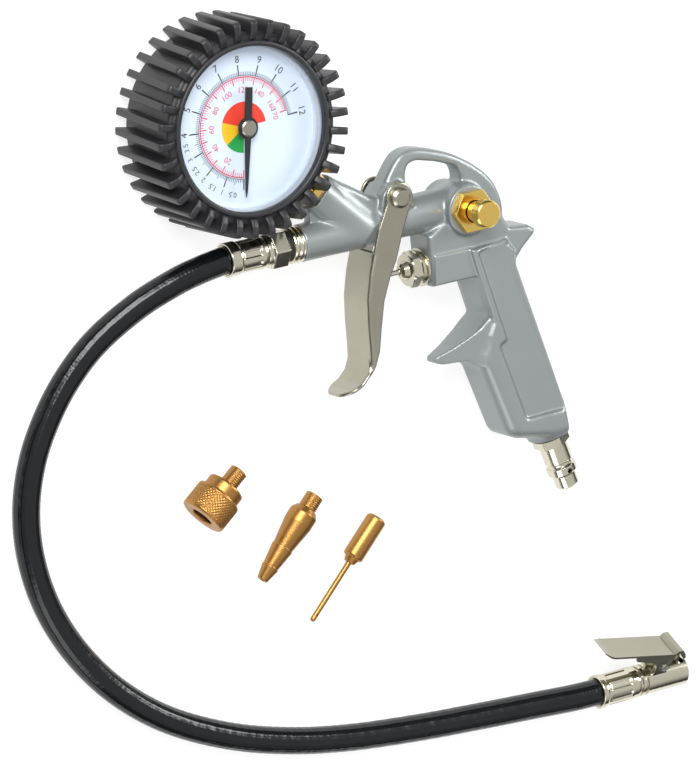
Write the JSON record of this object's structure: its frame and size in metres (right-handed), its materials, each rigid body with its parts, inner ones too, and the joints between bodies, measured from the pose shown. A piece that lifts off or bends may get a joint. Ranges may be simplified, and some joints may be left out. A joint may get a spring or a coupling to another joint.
{
  "type": "portable tire inflator",
  "caption": "Pistol-grip air line tire inflator with a rubber-booted dial gauge, trigger, bleed valve, hose, clip-on chuck and loose brass adapters.",
  "frame": {"origin": "on the gauge's axis, in the plane of the boot's flat back, which is the floor", "axes": "+Z along the gauge's axis out of the dial, +X along the barrel from the hose end to the rear, +Y towards the gun's top"},
  "size_m": [0.3191, 0.3389, 0.045],
  "materials": {
    "casting": "satin die-cast",
    "nickel": "nickel plated",
    "lever_metal": "satin nickel",
    "spring_steel": "plain",
    "brass": "machined",
    "adapter_brass": "machined raw brass",
    "copper": "dull",
    "boot_rubber": "matte",
    "seal_rubber": "matte",
    "hose_rubber": "glossy sheath",
    "bezel_plastic": "matte",
    "lens_clear": "clear",
    "dial_white": "printed",
    "pointer_black": "matte",
    "hub_metal": "turned"
  },
  "bodies": {
    "gun": {"body_casting": "casting", "inlet_nipple": "nickel", "nipple_seal": "seal_rubber", "valve_gland_nut": "nickel", "gland_oring": "seal_rubber", "valve_seat": "brass", "valve_spring": "spring_steel", "lever_pivot_pin": "nickel", "pin_clip": "spring_steel", "bleed_bush": "brass", "bleed_spring": "spring_steel", "gauge_stem": "brass", "stem_washer": "copper", "rubber_boot": "boot_rubber", "gauge_case": "spring_steel", "bezel_ring": "bezel_plastic", "lens": "lens_clear", "dial_plate": "dial_white", "bourdon_tube": "brass", "tip_link": "brass", "movement_base": "brass", "movement_top": "brass", "hairspring": "brass", "nose_ring": "nickel", "nose_washer": "seal_rubber", "hose_fitting": "nickel", "gun_ferrule": "nickel", "hose_tube": "hose_rubber", "chuck_ferrule": "nickel", "chuck_body": "nickel", "chuck_seal": "seal_rubber", "chuck_depressor": "brass", "chuck_lever_pin": "spring_steel", "chuck_spring": "spring_steel"},
    "trigger": {"trigger_lever": "lever_metal"},
    "valve": {"valve_stem": "nickel", "valve_poppet": "seal_rubber"},
    "bleed": {"bleed_button": "brass", "bleed_stem": "brass", "bleed_seal": "seal_rubber"},
    "needle": {"pointer": "pointer_black", "pointer_hub": "hub_metal", "pinion_arbor": "spring_steel"},
    "sector": {"sector_gear": "brass"},
    "thumb_lever": {"chuck_lever": "lever_metal"},
    "loose_adapter": {"valve_adapter": "adapter_brass", "adapter_seal": "seal_rubber"},
    "loose_nozzle": {"taper_nozzle": "adapter_brass"},
    "loose_needle": {"needle_head": "adapter_brass", "needle_tube": "spring_steel"}
  },
  "joints": [
    {"name": "trigger_squeeze", "type": "hinge", "parent": "gun", "child": "trigger", "pos_m": [0.071, -0.044, 0.019], "axis": [0, 0, 1], "range_deg": [0, 10], "stiffness_Nm_per_rad": 0.6, "springref_deg": -6.88},
    {"name": "valve_push", "type": "slide", "parent": "gun", "child": "valve", "axis": [1, 0, 0], "range_m": [0, 0.0065], "deforming": ["valve_spring"]},
    {"name": "bleed_press", "type": "slide", "parent": "gun", "child": "bleed", "axis": [0, 0, -1], "range_m": [0, 0.003], "stiffness_N_per_m": 400, "springref_m": -0.003, "deforming": ["bleed_spring"]},
    {"name": "pointer_turn", "type": "hinge", "parent": "gun", "child": "needle", "pos_m": [0, 0, 0.03], "axis": [0, 0, -1], "range_deg": [0, 260], "stiffness_Nm_per_rad": 0.00002},
    {"name": "sector_turn", "type": "hinge", "parent": "gun", "child": "sector", "pos_m": [-0.01188, 0.01188, 0.017], "axis": [0, 0, -1], "range_deg": [-44, 0]},
    {"name": "thumb_press", "type": "hinge", "parent": "gun", "child": "thumb_lever", "pos_m": [0.18697, -0.27582, 0.01318], "axis": [0.0018, -0.5075, 0.8616], "range_deg": [0, 10], "stiffness_Nm_per_rad": 0.2, "springref_deg": -5.73},
    {"name": "adapter_lift", "type": "slide", "parent": "gun", "child": "loose_adapter", "axis": [0, 0, 1], "range_m": [0, 0.06]},
    {"name": "nozzle_lift", "type": "slide", "parent": "gun", "child": "loose_nozzle", "axis": [0, 0, 1], "range_m": [0, 0.06]},
    {"name": "needle_lift", "type": "slide", "parent": "gun", "child": "loose_needle", "axis": [0, 0, 1], "range_m": [0, 0.06]}
  ],
  "couplings": [
    {"joint": "valve_push", "follows": "trigger_squeeze", "m_per_rad": 0.0362},
    {"joint": "sector_turn", "follows": "pointer_turn", "ratio": -0.16667}
  ]
}
